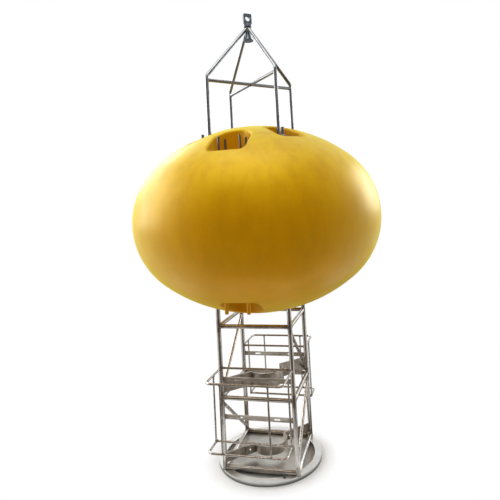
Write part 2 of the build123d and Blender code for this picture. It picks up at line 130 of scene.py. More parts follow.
# Weld beads
BEAD_PITCH = 3.2 * MM       # between ripples
BEAD_WIDTH = 6.4 * MM
BEAD_STEPS = 24             # points round a path
BEAD_LEAST = (0.85, 0.85, 0.7)      # smallest drop, as a share of the width; the last is along the path
BEAD_MOST = (1.1, 1.1, 0.9)         # largest drop
DROP_SEGMENTS = 8
DROP_RINGS = 4
BEAD_SEED = 7


# Places read from the frame

def middle(node_name):
    """Centre of a node's box."""
    low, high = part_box(node_name)
    return (low + high) / 2


def half_size(node_name):
    """Half of a node's box, along each axis."""
    low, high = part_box(node_name)
    return (high - low) / 2


CORNERS = ("front_left", "front_right", "back_right", "back_left")
LEG_R = half_size("leg_front_right").x
HALF = middle("leg_front_right").x      # from the buoy's axis to the legs' axes, along X and Y
RING_R = half_size("bottom_ring_front").z
RING_HEIGHTS = [middle(f"{level}_ring_front").z for level in ("bottom", "middle", "top")]
FLOAT_MID = middle("float_body")


def corner_place(corner, height):
    """The leg's axis at a corner, at that height."""
    place = middle(f"leg_{corner}")
    return Vector((place.x, place.y, height))


# Materials

def linear(colour):
    """Linear RGBA of an sRGB hex colour, or of a grey level that is linear already."""
    if not isinstance(colour, str):
        return [colour, colour, colour, 1.0]
    channels = [int(colour[i:i + 2], 16) / 255 for i in (1, 3, 5)]
    return [c / 12.92 if c <= 0.04045 else ((c + 0.055) / 1.055) ** 2.4 for c in channels] + [1.0]


def per_mm(size):
    """Texture scale for features of that size in millimetres."""
    return 1 / (size * MM)


def connect(tree, made, **inputs):
    """Sets a node's inputs by name, or by number as input_0, to another node's socket or to a value."""
    for key, value in inputs.items():
        number = key.removeprefix("input_")
        socket = made.inputs[int(number) if number.isdigit() else key.replace("_", " ")]
        if isinstance(value, bpy.types.NodeSocket):
            tree.links.new(value, socket)
        else:
            socket.default_value = value


def node(tree, kind, settings=None, **inputs):
    """Adds a node with its settings, a ramp's stops among them, and its inputs.

    A mix of colours has its share at input_0, its colours at input_6 and input_7, its result at outputs[2].
    """
    made = tree.nodes.new(kind)
    for key, value in (settings or {}).items():
        if key != "stops":
            setattr(made, key, value)
            continue
        elements = made.color_ramp.elements
        while len(elements) < len(value):
            elements.new(0.5)
        for element, (place, colour) in zip(elements, value):
            element.position = place
            element.color = linear(colour)
    connect(tree, made, **inputs)
    return made


def start_material(name, metallic=0.0):
    """A new node material: itself, its tree, its Principled shader and its Object coordinates."""
    material = bpy.data.materials.new(name)
    material.use_nodes = True
    tree = material.node_tree
    shader = tree.nodes["Principled BSDF"]
    shader.inputs["Metallic"].default_value = metallic
    place = tree.nodes.new("ShaderNodeTexCoord").outputs["Object"]
    return material, tree, shader, place


def in_pockets(tree, place):
    """The painted shade's full share on the walls of the float's pockets, and 0 on its outer skin."""
    from_middle = node(
        tree, "ShaderNodeVectorMath", {"operation": "SUBTRACT"}, input_0=place, input_1=FLOAT_MID,
    )
    folded = node(
        tree, "ShaderNodeVectorMath", {"operation": "ABSOLUTE"}, input_0=from_middle.outputs["Vector"],
    )
    away = node(
        tree, "ShaderNodeVectorMath", {"operation": "DISTANCE"},
        input_0=folded.outputs["Vector"], input_1=(0, 0, -CROWN_OFFSET),
    )
    deep = node(
        tree, "ShaderNodeMapRange", Value=away.outputs["Value"],
        From_Min=CROWN_R - POCKET_TINT[0], From_Max=CROWN_R - POCKET_TINT[1], To_Min=0.0, To_Max=POCKET_SHARE,
    )
    height = node(tree, "ShaderNodeSeparateXYZ", Vector=folded.outputs["Vector"]).outputs["Z"]
    # Nearer to the float's middle than the crown's edge, the depth below its sphere says nothing
    on_crown = node(
        tree, "ShaderNodeMath", {"operation": "GREATER_THAN"}, input_0=height, input_1=CROWN_EDGE_Z,
    )
    inside = node(
        tree, "ShaderNodeMath", {"operation": "MULTIPLY"},
        input_0=deep.outputs["Result"], input_1=on_crown.outputs[0],
    )
    return inside.outputs[0]


def sprayed_polyurea():
    """Sprayed polyurea over foam: a satin skin, with painted light that turns it from deep amber below to
    yellow above.

    It is slowly mottled, uneven where the upright passes of the gun meet, rubbed here and there, and darker
    amber in the pockets, a painted shade. An orange peel breaks up its sheen, and its edges have a yellow
    bloom.
    """
    material, tree, shader, place = start_material("sprayed_polyurea_yellow")
    low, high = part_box("float_body")
    height = node(tree, "ShaderNodeSeparateXYZ", Vector=place).outputs["Z"]
    # Painted light from above: the skin is lighter and yellower towards the top, broken up by a slow random
    # mottle
    rise = node(
        tree, "ShaderNodeMapRange", Value=height, From_Min=low.z, From_Max=high.z, To_Min=0.0, To_Max=0.9,
    )
    mottle = node(tree, "ShaderNodeTexNoise", Vector=place, Scale=per_mm(380), Detail=3.0)
    bleach = node(
        tree, "ShaderNodeMath", {"operation": "MULTIPLY_ADD"},
        input_0=mottle.outputs["Fac"], input_1=0.2, input_2=rise.outputs["Result"],
    )
    tone = node(
        tree, "ShaderNodeValToRGB",
        {"stops": [(0.2, "#CC7E00"), (0.55, "#CF8D00"), (0.8, "#D6A400"), (0.97, "#D9B216")]},
        Fac=bleach.outputs[0],
    )
    upright = node(tree, "ShaderNodeMapping", Vector=place, Scale=(1, 1, 0.3))
    run = node(
        tree, "ShaderNodeTexNoise", Vector=upright.outputs["Vector"],
        Scale=per_mm(75), Detail=5.0, Roughness=0.6,
    )
    passes = node(
        tree, "ShaderNodeValToRGB", {"stops": [(0.42, 0.0), (0.66, 0.5)]}, Fac=run.outputs["Fac"],
    )
    coats = node(
        tree, "ShaderNodeMix", {"data_type": "RGBA"},
        input_0=passes.outputs["Color"], input_6=tone.outputs["Color"], input_7=linear("#BC7C00"),
    )
    rubbing = node(tree, "ShaderNodeTexNoise", Vector=place, Scale=per_mm(110), Detail=7.0, Roughness=0.68)
    rubbed = node(
        tree, "ShaderNodeValToRGB", {"stops": [(0.54, 0.0), (0.74, 0.22)]}, Fac=rubbing.outputs["Fac"],
    )
    worn = node(
        tree, "ShaderNodeMix", {"data_type": "RGBA"},
        input_0=rubbed.outputs["Color"], input_6=coats.outputs[2], input_7=linear("#A87A18"),
    )
    # Painted shade: a deeper amber on the walls of the pockets
    shaded = node(
        tree, "ShaderNodeMix", {"data_type": "RGBA"},
        input_0=in_pockets(tree, place), input_6=worn.outputs[2], input_7=linear("#BE7800"),
    )
    speck = node(tree, "ShaderNodeTexNoise", Vector=place, Scale=per_mm(16), Detail=2.0, Roughness=0.5)
    dirt = node(
        tree, "ShaderNodeValToRGB", {"stops": [(0.66, 0.0), (0.78, 0.3)]}, Fac=speck.outputs["Fac"],
    )
    skin = node(
        tree, "ShaderNodeMix", {"data_type": "RGBA"},
        input_0=dirt.outputs["Color"], input_6=shaded.outputs[2], input_7=linear("#8A6212"),
    )
    gloss = node(tree, "ShaderNodeTexNoise", Vector=place, Scale=per_mm(70), Detail=4.0)
    rough = node(
        tree, "ShaderNodeValToRGB", {"stops": [(0.3, 0.34), (0.7, 0.44)]}, Fac=gloss.outputs["Fac"],
    )
    # The peel is about 2 mm across on the real skin and is drawn at 6 mm, as coarse as it needs to show
    peel = node(tree, "ShaderNodeTexNoise", Vector=place, Scale=per_mm(6), Detail=2.0)
    bump = node(tree, "ShaderNodeBump", Strength=0.14, Distance=0.4 * MM, Height=peel.outputs["Fac"])
    connect(
        tree, shader,
        Base_Color=skin.outputs[2], Roughness=rough.outputs["Color"], Normal=bump.outputs["Normal"],
        IOR=1.5, Specular_IOR_Level=0.75, Specular_Tint=linear("#FFE42C"),
        Sheen_Weight=0.8, Sheen_Roughness=0.5, Sheen_Tint=linear("#FFF24A"),
    )
    return material


def near_legs(tree, place):
    """1 on a leg's wall, falling to 0 some way along what is welded to it."""
    flat = node(tree, "ShaderNodeVectorMath", {"operation": "MULTIPLY"}, input_0=place, input_1=(1, 1, 0))
    folded = node(tree, "ShaderNodeVectorMath", {"operation": "ABSOLUTE"}, input_0=flat.outputs["Vector"])
    away = node(
        tree, "ShaderNodeVectorMath", {"operation": "DISTANCE"},
        input_0=folded.outputs["Vector"], input_1=(HALF, HALF, 0),
    )
    near = node(
        tree, "ShaderNodeMapRange", {"interpolation_type": "SMOOTHSTEP"}, Value=away.outputs["Value"],
        From_Min=LEG_R, From_Max=LEG_R + LEG_HEAT, To_Min=1.0, To_Max=0.0,
    )
    return near.outputs["Result"]


def near_rings(tree, place):
    """1 at the height of a ring of tubes, falling to 0 a little above and below it."""
    height = node(tree, "ShaderNodeSeparateXYZ", Vector=place).outputs["Z"]
    nearest = 1.0
    for ring in RING_HEIGHTS:
        apart = node(tree, "ShaderNodeMath", {"operation": "SUBTRACT"}, input_0=height, input_1=ring)
        size = node(tree, "ShaderNodeMath", {"operation": "ABSOLUTE"}, input_0=apart.outputs[0])
        nearest = node(
            tree, "ShaderNodeMath", {"operation": "MINIMUM"}, input_0=size.outputs[0], input_1=nearest,
        ).outputs[0]
    near = node(
        tree, "ShaderNodeMapRange", {"interpolation_type": "SMOOTHSTEP"}, Value=nearest,
        From_Min=RING_R, From_Max=RING_R + RING_HEAT, To_Min=1.0, To_Max=0.0,
    )
    return near.outputs["Result"]


def drawn_stainless(name, stretch, heat, dark="#A8A49E", light="#E2DFDA", rough=(0.18, 0.3)):
    """Drawn stainless tube, rod or bar as welded: warm grey with streaks along its length, brown stains, and
    heat tint from straw to dark grey by the welds.

    stretch is the streaks' share of each axis, and heat makes the mask of the tint.
    """
    material, tree, shader, place = start_material(name, metallic=1.0)
    drawn_place = node(tree, "ShaderNodeMapping", Vector=place, Scale=stretch)
    # Draw marks are finer than 1 mm and are drawn at 7 mm, as coarse as they need to show
    streak = node(
        tree, "ShaderNodeTexNoise", Vector=drawn_place.outputs["Vector"],
        Scale=per_mm(7), Detail=3.0, Roughness=0.55,
    )
    tone = node(
        tree, "ShaderNodeValToRGB", {"stops": [(0.3, dark), (0.72, light)]}, Fac=streak.outputs["Fac"],
    )
    patch = node(tree, "ShaderNodeTexNoise", Vector=place, Scale=per_mm(60), Detail=4.0, Roughness=0.6)
    stain = node(
        tree, "ShaderNodeValToRGB", {"stops": [(0.42, 0.0), (0.7, 0.36)]}, Fac=patch.outputs["Fac"],
    )
    stained = node(
        tree, "ShaderNodeMix", {"data_type": "RGBA"},
        input_0=stain.outputs["Color"], input_6=tone.outputs["Color"], input_7=linear("#887B6D"),
    )
    mask = heat(tree, place)
    burnt = node(
        tree, "ShaderNodeValToRGB",
        {"stops": [(0.0, "#A09A90"), (0.3, "#A39068"), (0.6, "#7A6552"), (0.9, "#6A686A")]}, Fac=mask,
    )
    share = node(tree, "ShaderNodeValToRGB", {"stops": [(0.05, 0.0), (0.6, 0.55)]}, Fac=mask)
    tinted = node(
        tree, "ShaderNodeMix", {"data_type": "RGBA"},
        input_0=share.outputs["Color"], input_6=stained.outputs[2], input_7=burnt.outputs["Color"],
    )
    gloss = node(
        tree, "ShaderNodeValToRGB", {"stops": [(0.3, rough[0]), (0.7, rough[1])]}, Fac=streak.outputs["Fac"],
    )
    bump = node(tree, "ShaderNodeBump", Strength=0.08, Distance=0.1 * MM, Height=streak.outputs["Fac"])
    connect(
        tree, shader,
        Base_Color=tinted.outputs[2], Roughness=gloss.outputs["Color"], Normal=bump.outputs["Normal"],
    )
    return material


def polished_rod():
    """Ground and polished stainless rod: smooth and dark grey, with slow clouds in its gloss."""
    material, tree, shader, place = start_material("polished_stainless_rod", metallic=1.0)
    cloud = node(tree, "ShaderNodeTexNoise", Vector=place, Scale=per_mm(80), Detail=3.0)
    tone = node(
        tree, "ShaderNodeValToRGB", {"stops": [(0.3, "#6C6F73"), (0.7, "#868686")]}, Fac=cloud.outputs["Fac"],
    )
    gloss = node(
        tree, "ShaderNodeValToRGB", {"stops": [(0.3, 0.17), (0.7, 0.25)]}, Fac=cloud.outputs["Fac"],
    )
    connect(tree, shader, Base_Color=tone.outputs["Color"], Roughness=gloss.outputs["Color"])
    return material


def blasted_forging():
    """Forged and blasted stainless: dull dark slate, a little uneven, with no clear mirror in it."""
    material, tree, shader, place = start_material("blasted_stainless_forging", metallic=1.0)
    cloud = node(tree, "ShaderNodeTexNoise", Vector=place, Scale=per_mm(22), Detail=4.0)
    tone = node(
        tree, "ShaderNodeValToRGB", {"stops": [(0.3, "#454A51"), (0.7, "#636870")]}, Fac=cloud.outputs["Fac"],
    )
    connect(tree, shader, Base_Color=tone.outputs["Color"], Roughness=0.42)
    return material


def pickled_plate():
    """Hot-rolled and pickled stainless plate: dull warm grey, cloudy, with lighter handling scuffs."""
    material, tree, shader, place = start_material("pickled_stainless_plate", metallic=1.0)
    cloud = node(tree, "ShaderNodeTexNoise", Vector=place, Scale=per_mm(35), Detail=6.0, Roughness=0.65)
    tone = node(
        tree, "ShaderNodeValToRGB", {"stops": [(0.3, "#877E72"), (0.55, "#ABA397"), (0.75, "#D6D0C6")]},
        Fac=cloud.outputs["Fac"],
    )
    gloss = node(
        tree, "ShaderNodeValToRGB", {"stops": [(0.3, 0.36), (0.7, 0.55)]}, Fac=cloud.outputs["Fac"],
    )
    grain = node(tree, "ShaderNodeTexNoise", Vector=place, Scale=per_mm(4), Detail=2.0)
    bump = node(tree, "ShaderNodeBump", Strength=0.1, Distance=0.1 * MM, Height=grain.outputs["Fac"])
    connect(
        tree, shader,
        Base_Color=tone.outputs["Color"], Roughness=gloss.outputs["Color"], Normal=bump.outputs["Normal"],
    )
    return material


def brushed_ring():
    """Rolled angle ring, brushed round its circle: bright silver, with fine rings in its gloss, and painted
    shade in its holes and up its skirt from the ground."""
    material, tree, shader, place = start_material("circle_brushed_stainless", metallic=1.0)
    flat = node(tree, "ShaderNodeVectorMath", {"operation": "MULTIPLY"}, input_0=place, input_1=(1, 1, 0))
    radius = node(tree, "ShaderNodeVectorMath", {"operation": "LENGTH"}, input_0=flat.outputs["Vector"])
    # Brush marks are under 1 mm apart and are drawn at 4 mm, as coarse as they need to show
    brush = node(
        tree, "ShaderNodeTexNoise", {"noise_dimensions": "1D"},
        W=radius.outputs["Value"], Scale=per_mm(4), Detail=2.0,
    )
    tone = node(
        tree, "ShaderNodeValToRGB", {"stops": [(0.3, "#CFCFCC"), (0.7, "#EAEAE8")]}, Fac=brush.outputs["Fac"],
    )
    cloud = node(tree, "ShaderNodeTexNoise", Vector=place, Scale=per_mm(90), Detail=5.0, Roughness=0.6)
    dull = node(
        tree, "ShaderNodeValToRGB", {"stops": [(0.48, 0.0), (0.75, 0.3)]}, Fac=cloud.outputs["Fac"],
    )
    silver = node(
        tree, "ShaderNodeMix", {"data_type": "RGBA"},
        input_0=dull.outputs["Color"], input_6=tone.outputs["Color"], input_7=linear("#A8A69F"),
    )
    # Painted shade: dark up the skirt from the ground and round the fixing holes
    height = node(tree, "ShaderNodeSeparateXYZ", Vector=place).outputs["Z"]
    clean_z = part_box("base_ring")[1].z - SKIRT_CLEAN
    on_skirt = node(
        tree, "ShaderNodeMapRange", Value=height,
        From_Min=SKIRT_GRIME_Z, From_Max=clean_z, To_Min=SKIRT_SHARE, To_Max=0.0,
    )
    turn = radians(BASE_HOLE_TURN)
    hole = (half_size("base_ring").x - BASE_HOLE_INSET) * Vector((sin(turn), -cos(turn), 0))
    apart = [
        node(
            tree, "ShaderNodeVectorMath", {"operation": "DISTANCE"},
            input_0=flat.outputs["Vector"], input_1=centre,
        ).outputs["Value"]
        for centre in (hole, -hole)
    ]
    nearest = node(tree, "ShaderNodeMath", {"operation": "MINIMUM"}, input_0=apart[0], input_1=apart[1])
    in_hole = node(
        tree, "ShaderNodeMapRange", Value=nearest.outputs[0],
        From_Min=BASE_HOLE_R, From_Max=BASE_HOLE_R + HOLE_GRIME, To_Min=1.0, To_Max=0.0,
    )
    grime = node(
        tree, "ShaderNodeMath", {"operation": "MAXIMUM"},
        input_0=on_skirt.outputs["Result"], input_1=in_hole.outputs["Result"],
    )
    soiled = node(
        tree, "ShaderNodeMix", {"data_type": "RGBA"},
        input_0=grime.outputs[0], input_6=silver.outputs[2], input_7=linear("#4A4943"),
    )
    gloss = node(
        tree, "ShaderNodeValToRGB", {"stops": [(0.3, 0.28), (0.7, 0.4)]}, Fac=brush.outputs["Fac"],
    )
    connect(tree, shader, Base_Color=soiled.outputs[2], Roughness=gloss.outputs["Color"])
    return material


def cold_rolled_plate():
    """Cold-rolled stainless plate: pale, smooth enough to show the tubes above it, with dull footmarks."""
    material, tree, shader, place = start_material("cold_rolled_stainless_plate", metallic=1.0)
    cloud = node(tree, "ShaderNodeTexNoise", Vector=place, Scale=per_mm(120), Detail=4.0)
    tone = node(
        tree, "ShaderNodeValToRGB", {"stops": [(0.3, "#99968F"), (0.6, "#BAB8B2"), (0.8, "#CDCBC7")]},
        Fac=cloud.outputs["Fac"],
    )
    gloss = node(
        tree, "ShaderNodeValToRGB", {"stops": [(0.35, 0.32), (0.7, 0.44)]}, Fac=cloud.outputs["Fac"],
    )
    connect(tree, shader, Base_Color=tone.outputs["Color"], Roughness=gloss.outputs["Color"])
    return material


def rolled_thread():
    """Stainless studding: dark, with painted shade in the thread roots and a painted highlight on the crests.
    """
    material, tree, shader, place = start_material("rolled_thread_stainless", metallic=1.0)
    bands_at_one = 3.18     # that a wave texture draws in a metre at a scale of 1
    # The thread's pitch is 1.75 mm and is drawn at 3.5 mm, as coarse as it needs to show
    thread = node(
        tree, "ShaderNodeTexWave", {"bands_direction": "Z"},
        Vector=place, Scale=per_mm(3.5) / bands_at_one, Distortion=0.0,
    )
    # Painted shade in the thread roots and a painted highlight on the crests
    tone = node(
        tree, "ShaderNodeValToRGB", {"stops": [(0.2, "#2C2B2B"), (0.9, "#7A7876")]},
        Fac=thread.outputs["Fac"],
    )
    bump = node(tree, "ShaderNodeBump", Strength=0.5, Distance=0.8 * MM, Height=thread.outputs["Fac"])
    connect(tree, shader, Base_Color=tone.outputs["Color"], Normal=bump.outputs["Normal"], Roughness=0.28)
    return material


def cold_formed_fastener():
    """Cold-formed stainless nuts and washers: bright, with dull patches on their faces."""
    material, tree, shader, place = start_material("cold_formed_stainless", metallic=1.0)
    cloud = node(tree, "ShaderNodeTexNoise", Vector=place, Scale=per_mm(9), Detail=3.0)
    tone = node(
        tree, "ShaderNodeValToRGB", {"stops": [(0.3, "#77756F"), (0.7, "#B2B0AA")]}, Fac=cloud.outputs["Fac"],
    )
    gloss = node(
        tree, "ShaderNodeValToRGB", {"stops": [(0.3, 0.22), (0.7, 0.36)]}, Fac=cloud.outputs["Fac"],
    )
    connect(tree, shader, Base_Color=tone.outputs["Color"], Roughness=gloss.outputs["Color"])
    return material


def weld_metal():
    """Stainless weld bead as laid: glossy, in patches of brown, straw and grey."""
    material, tree, shader, place = start_material("weld_bead_stainless", metallic=1.0)
    colour_run = node(tree, "ShaderNodeTexNoise", Vector=place, Scale=per_mm(14), Detail=2.0)
    tone = node(
        tree, "ShaderNodeValToRGB", {"stops": [(0.3, "#5C5046"), (0.5, "#8A7F6C"), (0.7, "#8B8B8C")]},
        Fac=colour_run.outputs["Fac"],
    )
    connect(tree, shader, Base_Color=tone.outputs["Color"], Roughness=0.3)
    return material


ALONG_X = (0.05, 1, 1)
ALONG_Y = (1, 0.05, 1)
ALONG_Z = (1, 1, 0.05)
EVEN = (0.6, 0.6, 0.6)
finishes = {
    "float": sprayed_polyurea(),
    "leg": drawn_stainless("drawn_stainless_leg", ALONG_Z, near_rings),
    "across": drawn_stainless("drawn_stainless_across", ALONG_X, near_legs),
    "along": drawn_stainless("drawn_stainless_along", ALONG_Y, near_legs),
    "brace": drawn_stainless("drawn_stainless_brace", EVEN, near_legs),
    "bar": drawn_stainless("pickled_flat_bar", ALONG_X, near_legs, "#B4ACA0", "#EAE5DC", (0.42, 0.58)),
    "guard": drawn_stainless("bright_drawn_rod", EVEN, near_legs, "#9C978F", "#CCC7BF"),
    "lift": polished_rod(),
    "forging": blasted_forging(),
    "plate": pickled_plate(),
    "ring": brushed_ring(),
    "floor_plate": cold_rolled_plate(),
    "thread": rolled_thread(),
    "fastener": cold_formed_fastener(),
    "weld": weld_metal(),
}
# start of a node's name, finish
FINISH_BY_NAME = [
    ("float_body", "float"),
    ("base_ring", "ring"),
    ("floor_plate", "floor_plate"),
    ("leg_", "leg"),
    ("brace_", "brace"),
    ("guard_", "guard"),
    ("clamp_", "plate"),
    ("flat_bar", "bar"),
    ("tie_rods", "thread"),
    ("corner_studs", "thread"),
    ("lifting_rod", "lift"),
    ("cross_bar", "lift"),
    ("foot_", "lift"),
    ("head", "forging"),
    ("swivel_eye", "forging"),
]
RING_FINISH = {"front": "across", "back": "across", "left": "along", "right": "along"}


def finish_for(name):
    """The finish of a CAD node, by its name; a ring tube's is by the side of the cage that it spans."""
    for start, finish in FINISH_BY_NAME:
        if name.startswith(start):
            return finish
    return RING_FINISH[name.split("_")[-1]]


for name, solid in nodes.items():
    solid.data.materials.clear()
    solid.data.materials.append(finishes[finish_for(name)])


# Pieces that repeat

def add_object(name, data):
    """A new object in the scene, at the origin."""
    made = bpy.data.objects.new(name, data)
    bpy.context.scene.collection.objects.link(made)
    return made


def start_tree(name, sizes):
    """A new geometry tree that takes a geometry and named sizes: itself, its inputs and its output node."""
    tree = bpy.data.node_groups.new(name, "GeometryNodeTree")
    tree.interface.new_socket("Geometry", in_out="INPUT", socket_type="NodeSocketGeometry")
    for size in sizes:
        kind = "NodeSocketInt" if size == "Seed" else "NodeSocketFloat"
        tree.interface.new_socket(size, in_out="INPUT", socket_type=kind)
    tree.interface.new_socket("Geometry", in_out="OUTPUT", socket_type="NodeSocketGeometry")
    given = tree.nodes.new("NodeGroupInput").outputs
    return tree, given, tree.nodes.new("NodeGroupOutput")


def finish_tree(tree, out, instances, material):
    """Ends a tree in plain geometry with its finish."""
    plain = node(tree, "GeometryNodeRealizeInstances", Geometry=instances)
    coated = node(tree, "GeometryNodeSetMaterial", Geometry=plain.outputs["Geometry"], Material=material)
    tree.links.new(coated.outputs["Geometry"], out.inputs["Geometry"])


def grow(name, points, edges, tree, sizes):
    """Runs a tree on points and edges, and leaves the result as a plain piece of the frame."""
    mesh = bpy.data.meshes.new(name)
    mesh.from_pydata(points, edges, [])
    piece = add_object(name, mesh)
    growth = piece.modifiers.new("growth", "NODES")
    growth.node_group = tree
    for item in tree.interface.items_tree:
        if item.in_out == "INPUT" and item.name in sizes:
            growth[item.identifier] = sizes[item.name]
    grown = bpy.data.meshes.new_from_object(piece.evaluated_get(bpy.context.evaluated_depsgraph_get()))
    piece.modifiers.remove(growth)
    piece.data = grown
    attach(piece, "frame")


def bead_tree():
    """Weld beads: overlapping flat drops along each path, each a little different in size."""
    tree, given, out = start_tree("weld_beads", ("Pitch", "Width", "Seed"))
    path = node(tree, "GeometryNodeMeshToCurve", Mesh=given["Geometry"])
    spots = node(
        tree, "GeometryNodeCurveToPoints", {"mode": "LENGTH"},
        Curve=path.outputs["Curve"], Length=given["Pitch"],
    )
    radius = node(tree, "ShaderNodeMath", {"operation": "MULTIPLY"}, input_0=given["Width"], input_1=0.5)
    drop = node(
        tree, "GeometryNodeMeshUVSphere", Segments=DROP_SEGMENTS, Rings=DROP_RINGS, Radius=radius.outputs[0],
    )
    smooth = node(tree, "GeometryNodeSetShadeSmooth", input_0=drop.outputs["Mesh"])
    size = node(
        tree, "FunctionNodeRandomValue", {"data_type": "FLOAT_VECTOR"},
        input_0=BEAD_LEAST, input_1=BEAD_MOST, Seed=given["Seed"],
    )
    drops = node(
        tree, "GeometryNodeInstanceOnPoints", Points=spots.outputs["Points"], Instance=smooth.outputs[0],
        Rotation=spots.outputs["Rotation"], Scale=size.outputs[0],
    )
    finish_tree(tree, out, drops.outputs["Instances"], finishes["weld"])
    return tree


def with_bottom(tree, walls, bottom):
    """Closes a shell with the face that it was raised from, turned over."""
    under = node(tree, "GeometryNodeFlipFaces", Mesh=bottom)
    both = tree.nodes.new("GeometryNodeJoinGeometry")
    for part in (walls, under.outputs["Mesh"]):
        tree.links.new(part, both.inputs["Geometry"])
    closed = node(
        tree, "GeometryNodeMergeByDistance", Geometry=both.outputs["Geometry"], Distance=MERGE_WITHIN,
    )
    return closed.outputs["Geometry"]


def hex_nut(tree, given):
    """A chamfered hex nut on its washer's top face, with its axis on Z."""
    corner = node(
        tree, "ShaderNodeMath", {"operation": "DIVIDE"}, input_0=given["Across Flats"], input_1=sqrt(3),
    )
    hexagon = node(tree, "GeometryNodeCurvePrimitiveCircle", Resolution=6, Radius=corner.outputs[0])
    face = node(tree, "GeometryNodeFillCurve", {"mode": "NGONS"}, Curve=hexagon.outputs["Curve"])
    side_height = node(
        tree, "ShaderNodeMath", {"operation": "SUBTRACT"}, input_0=given["Height"], input_1=given["Chamfer"],
    )
    sides = node(
        tree, "GeometryNodeExtrudeMesh", Mesh=face.outputs["Mesh"], Offset_Scale=side_height.outputs[0],
    )
    rim = node(
        tree, "GeometryNodeExtrudeMesh", Mesh=sides.outputs["Mesh"], Selection=sides.outputs["Top"],
        Offset_Scale=given["Chamfer"],
    )
    nut = node(
        tree, "GeometryNodeScaleElements", Geometry=rim.outputs["Mesh"], Selection=rim.outputs["Top"],
        Scale=NUT_TOP,
    )
    closed = with_bottom(tree, nut.outputs["Geometry"], face.outputs["Mesh"])
    seat = node(tree, "ShaderNodeCombineXYZ", Z=given["Plate"])
    seated = node(tree, "GeometryNodeTransform", Geometry=closed, Translation=seat.outputs["Vector"])
    return seated.outputs["Geometry"]


def washer(tree, given):
    """A round washer with its underside at Z = 0."""
    radius = node(tree, "ShaderNodeMath", {"operation": "MULTIPLY"}, input_0=given["Washer"], input_1=0.5)
    disc = node(tree, "GeometryNodeCurvePrimitiveCircle", Resolution=WASHER_STEPS, Radius=radius.outputs[0])
    face = node(tree, "GeometryNodeFillCurve", {"mode": "NGONS"}, Curve=disc.outputs["Curve"])
    raised = node(
        tree, "GeometryNodeExtrudeMesh", Mesh=face.outputs["Mesh"], Offset_Scale=given["Plate"],
    )
    return with_bottom(tree, raised.outputs["Mesh"], face.outputs["Mesh"])


def nut_tree():
    """Nuts on washers, one pair at each point, each turned its own way; Turn Over is in radians about X."""
    sizes = ("Across Flats", "Height", "Chamfer", "Washer", "Plate", "Turn Over", "Seed")
    tree, given, out = start_tree("hex_nuts", sizes)
    pair = tree.nodes.new("GeometryNodeJoinGeometry")
    for part in (hex_nut(tree, given), washer(tree, given)):
        tree.links.new(part, pair.inputs["Geometry"])
    turn = node(
        tree, "FunctionNodeRandomValue", {"data_type": "FLOAT"},
        input_2=0.0, input_3=pi / 3, Seed=given["Seed"],
    )
    turned = node(tree, "ShaderNodeCombineXYZ", X=given["Turn Over"], Z=turn.outputs[1])
    spots = node(tree, "GeometryNodeMeshToPoints", Mesh=given["Geometry"])
    nuts = node(
        tree, "GeometryNodeInstanceOnPoints", Points=spots.outputs["Points"],
        Instance=pair.outputs["Geometry"], Rotation=turned.outputs["Vector"],
    )
    finish_tree(tree, out, nuts.outputs["Instances"], finishes["fastener"])
    return tree


# Weld paths

def ring_outline(way, radius):
    """Offsets round a bar that runs along way."""
    across = way.orthogonal().normalized()
    other = way.cross(across).normalized()
    turns = [2 * pi * i / BEAD_STEPS for i in range(BEAD_STEPS)]
    return [radius * (cos(t) * across + sin(t) * other) for t in turns]


def strip_outline(across, half_across, half_height):
    """Offsets round an upright flat strip, from corner to corner."""
    corners = [(1, 1), (-1, 1), (-1, -1), (1, -1)]
    return [a * half_across * across + b * half_height * UP for a, b in corners]


def saddle(start, way, outline, post, post_way, post_r):
    """Closed path where a bar from start along way first meets a round post."""
    path = []
    for offset in outline:
        point = start + offset
        # Seen along the post, the point has to come within post_r of the post's axis
        step = way - way.dot(post_way) * post_way
        gap = point - post
        gap = gap - gap.dot(post_way) * post_way
        half_b = gap.dot(step)
        root = max(half_b ** 2 - step.length_squared * (gap.length_squared - post_r ** 2), 0.0)
        path.append(point + way * ((-half_b - sqrt(root)) / step.length_squared))
    return path


# side of the cage, its two corners
SIDES = {
    "front": ("front_left", "front_right"),
    "right": ("front_right", "back_right"),
    "back": ("back_right", "back_left"),
    "left": ("back_left", "front_left"),
}


def span_welds(first, first_z, second, second_z, outline_of):
    """Paths at both ends of a bar between two legs; outline_of gives its outline from the way it runs."""
    ends = [corner_place(first, first_z), corner_place(second, second_z)]
    centre = (ends[0] + ends[1]) / 2
    paths = []
    for end in ends:
        way = (end - centre).normalized()
        paths.append(saddle(centre, way, outline_of(way), end, UP, LEG_R))
    return paths


